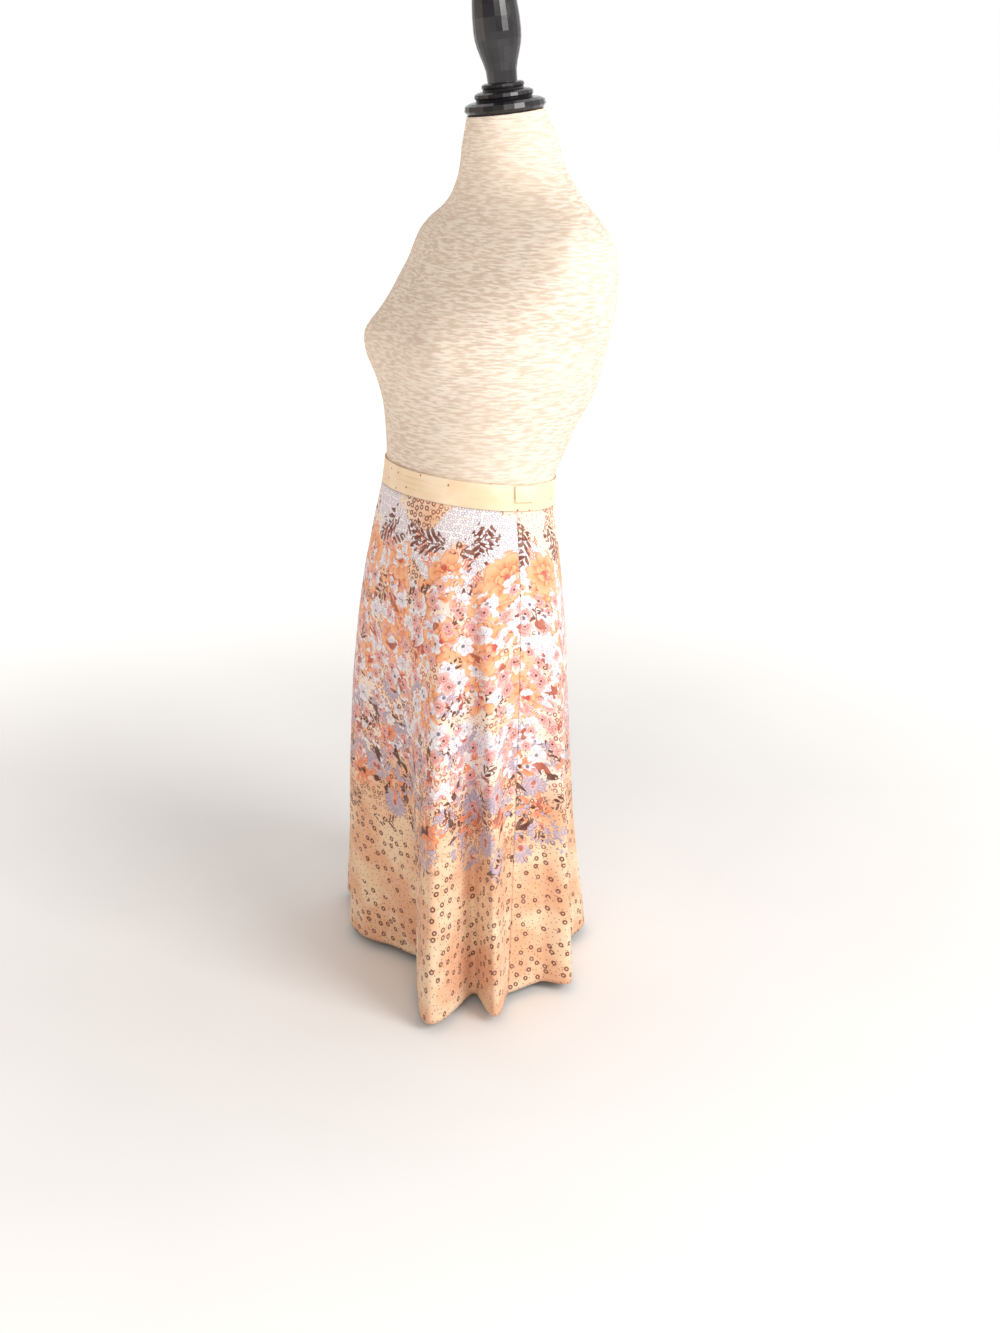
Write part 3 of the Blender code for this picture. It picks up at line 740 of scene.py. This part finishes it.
def makePanel(name, startSide, endSide, turn, cloth):
    drops = np.linspace(figure["seamGap"], skirt["length"], skirt["rows"] + 1)
    hemStart = seamAngle(startSide, skirt["length"])
    hemEnd = seamAngle(endSide, skirt["length"]) + turn
    fine = np.linspace(hemStart, hemEnd, 3001)
    along = arcLengths(skirtPoints(fine, skirt["length"]))
    across = np.interp(np.linspace(0, along[-1], skirt["columns"] + 1), along, fine)
    shares = (across - hemStart) / (hemEnd - hemStart)
    start = seamAngle(startSide, drops)
    end = seamAngle(endSide, drops) + turn
    reach = np.linalg.norm(skirtPoints(start, drops)[..., :2], axis=-1)
    margin = np.degrees(figure["seamGap"] / 2 / reach) * skirt["seamLean"]
    degrees = (start + margin)[:, None] + (end - start - 2 * margin)[:, None] * shares[None, :]
    points = skirtPoints(degrees, drops[:, None])
    lengths = arcLengths(points)
    cut = np.stack([lengths - lengths[:, -1:] / 2, np.broadcast_to(drops[:, None], lengths.shape)], -1)
    piece = clothGrid(name, points, cut)
    piece.data.materials.append(cloth)
    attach(piece, "root")
    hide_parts(name)


band = {
    "height": 0.029,
    "reach": 0.124,
    "columns": 240,
    "rows": 44,
    "tucksStart": -92,
    "tucksFull": -67,
    "tabLength": 0.027,
    "tabHeight": 0.018,
    "tabAngle": 3.5,
    "tabUnderlap": 0.0085,
    "tabTop": 0.98,
    "tabFoot": 0.36,
    "tabLift": 0.0009,
    "tabCut": 0.3,  # sets its dots apart from the band's
}

# Tucks of the band: foot and head as shares of its height, and how far each stands out
bandTucks = [(0.0, 0.31, 0.0009), (0.36, 0.51, 0.0008), (0.56, 0.73, 0.0007), (0.78, 1.0, 0.0006)]


def bandPoints(degrees, up, out=0.0):
    lift = figure["cloth"] + figure["bandProud"] + out
    return formPoints(degrees, figure["waist"] + band["height"] * up, lift)


def makeBand(name, start, end, tucked, cloth):
    degrees = np.linspace(start, end, band["columns"] + 1)[None, :]
    ups = np.linspace(1.0, 0.0, band["rows"] + 1)[:, None]
    raised = np.zeros(np.broadcast(degrees, ups).shape)
    if tucked:
        for foot, head, rise in bandTucks:
            t = np.clip((ups - foot) / (head - foot), 0, 1)
            raised = raised + rise * t ** 0.7 * (1 - softStep(0.86, 1.0, t)) * (t > 0) * (t < 1)
        raised = raised * softStep(band["tucksStart"], band["tucksFull"], degrees)
    points = bandPoints(degrees, ups, raised)
    lengths = arcLengths(points)
    cut = np.stack([lengths, np.broadcast_to(band["height"] * ups, lengths.shape)], -1)
    piece = clothGrid(name, points, cut)
    piece.data.materials.append(cloth)
    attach(piece, "root")
    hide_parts(name)


def makeTab(cloth):
    half = math.degrees(band["tabLength"] / 2 / band["reach"])
    degrees = np.linspace(band["tabAngle"] - half, band["tabAngle"] + half, 41)[None, :]
    ups = np.linspace(band["tabTop"], band["tabFoot"], 33)[:, None]
    points = bandPoints(degrees, ups, figure["cloth"] + band["tabLift"] + 2 * figure["seamGap"])
    lengths = arcLengths(points)
    cut = np.stack([lengths + band["tabCut"], np.broadcast_to(band["height"] * ups, lengths.shape)], -1)
    piece = clothGrid("waistband_tab", points, cut)
    piece.data.materials.append(cloth)
    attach(piece, "root")
    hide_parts("waistband_tab")


form = {"around": 180, "rings": 150, "edge": 0.004}


def makeForm(linen):
    bpy.ops.object.select_all(action="DESELECT")
    bpy.ops.mesh.primitive_cylinder_add(vertices=form["around"], radius=1, depth=2, end_fill_type="NGON")
    piece = bpy.context.object
    piece.name = "form_cover"
    piece.data.name = "form_cover"
    bpy.ops.object.mode_set(mode="EDIT")
    bpy.ops.mesh.select_mode(type="EDGE")
    bpy.ops.mesh.select_all(action="DESELECT")
    bpy.ops.object.mode_set(mode="OBJECT")
    for edge in piece.data.edges:
        a, b = [piece.data.vertices[v].co for v in edge.vertices]
        edge.select = abs(a.z - b.z) > 1
    bpy.ops.object.mode_set(mode="EDIT")
    bpy.ops.mesh.subdivide(number_cuts=form["rings"] - 1)
    bpy.ops.object.mode_set(mode="OBJECT")
    count = len(piece.data.vertices)
    co = np.empty(count * 3)
    piece.data.vertices.foreach_get("co", co)
    co = co.reshape(-1, 3)
    degrees = np.degrees(np.arctan2(co[:, 1], co[:, 0]))
    share = (co[:, 2] + 1) / 2
    height = figure["formBottom"] + (figure["neckTop"] - figure["formBottom"]) * share
    points = formPoints(degrees, height)
    lowest = share < 0.001
    points[lowest] = formPoints(degrees[lowest], figure["formBottom"], -form["edge"])
    points[lowest, 2] = figure["formBottom"] - form["edge"]
    piece.data.vertices.foreach_set("co", points.reshape(-1))
    piece.data.update()
    bpy.ops.object.shade_smooth_by_angle(angle=math.radians(40))
    piece.data.materials.append(linen)
    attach(piece, "root")
    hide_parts("dress_form")
    print("form made", count)


def makeLinen():
    material, tree, shader = newMaterial("linen_cover", (0.86, 0.75, 0.64), 0.9)
    place = placeOf(tree)
    slubs = noise(tree, vectors(tree, "MULTIPLY", place, (70.0, 70.0, 480.0)), 1.0, 3)
    threads = noise(tree, vectors(tree, "MULTIPLY", place, (900.0, 900.0, 260.0)), 1.0, 1)
    cloudy = noise(tree, place, 9.0, 2)
    colour = mixed(tree, between(tree, slubs, 0.36, 0.64), (0.66, 0.52, 0.41), (0.86, 0.76, 0.66))
    colour = mixed(tree, between(tree, cloudy, 0.3, 0.7, 0.0, 0.3), colour, (0.84, 0.70, 0.57))
    link(tree, colour, shader.inputs["Base Color"])
    height = sums(tree, "ADD", slubs, sums(tree, "MULTIPLY", threads, 0.5))
    bumped(tree, shader, height, 0.0008, 0.6)
    shader.inputs["Specular IOR Level"].default_value = 0.25
    return material


def makeLacquer():
    material, tree, shader = newMaterial("black_lacquer", (0.012, 0.011, 0.012), 0.16)
    smear = noise(tree, placeOf(tree), 40.0, 3)
    link(tree, between(tree, smear, 0.3, 0.7, 0.12, 0.24), shader.inputs["Roughness"])
    tone = mixed(tree, smear, (0.010, 0.009, 0.011), (0.018, 0.016, 0.019))
    link(tree, tone, shader.inputs["Base Color"])
    return material


def makeIron():
    material, tree, shader = newMaterial("black_iron", (0.02, 0.02, 0.02), 0.5)
    grit = noise(tree, placeOf(tree), 600.0, 2)
    link(tree, between(tree, grit, 0.3, 0.7, 0.42, 0.6), shader.inputs["Roughness"])
    link(tree, mixed(tree, grit, (0.016, 0.016, 0.017), (0.03, 0.03, 0.032)), shader.inputs["Base Color"])
    bumped(tree, shader, grit, 0.0002, 0.4)
    return material


aimCamera()
lightStage()
makeMotifs()
printCloth = makePrintCloth()
bandCloth = makeBandCloth()
makePanel("skirt_front", -1, 1, 0, printCloth)
makePanel("skirt_back", 1, -1, 360, printCloth)
rightSeam = skirt["seamAtWaist"] - 180
leftEnd = band["tabAngle"] + math.degrees(band["tabUnderlap"] / band["reach"])
halfGap = math.degrees(figure["seamGap"] / 2 / band["reach"]) * skirt["seamLean"]
makeBand("waistband_front", rightSeam + halfGap, leftEnd - halfGap, True, bandCloth)
makeBand("waistband_back", leftEnd + halfGap, rightSeam + 360 - halfGap, False, bandCloth)
makeTab(bandCloth)
makeForm(makeLinen())
lacquer = makeLacquer()
iron = makeIron()
for nodeName, finish in (("neck_cap", lacquer), ("finial", lacquer), ("stand_collar", iron),
                         ("stand_pole", iron), ("stand_base", iron)):
    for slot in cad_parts[nodeName].material_slots:
        slot.material = finish
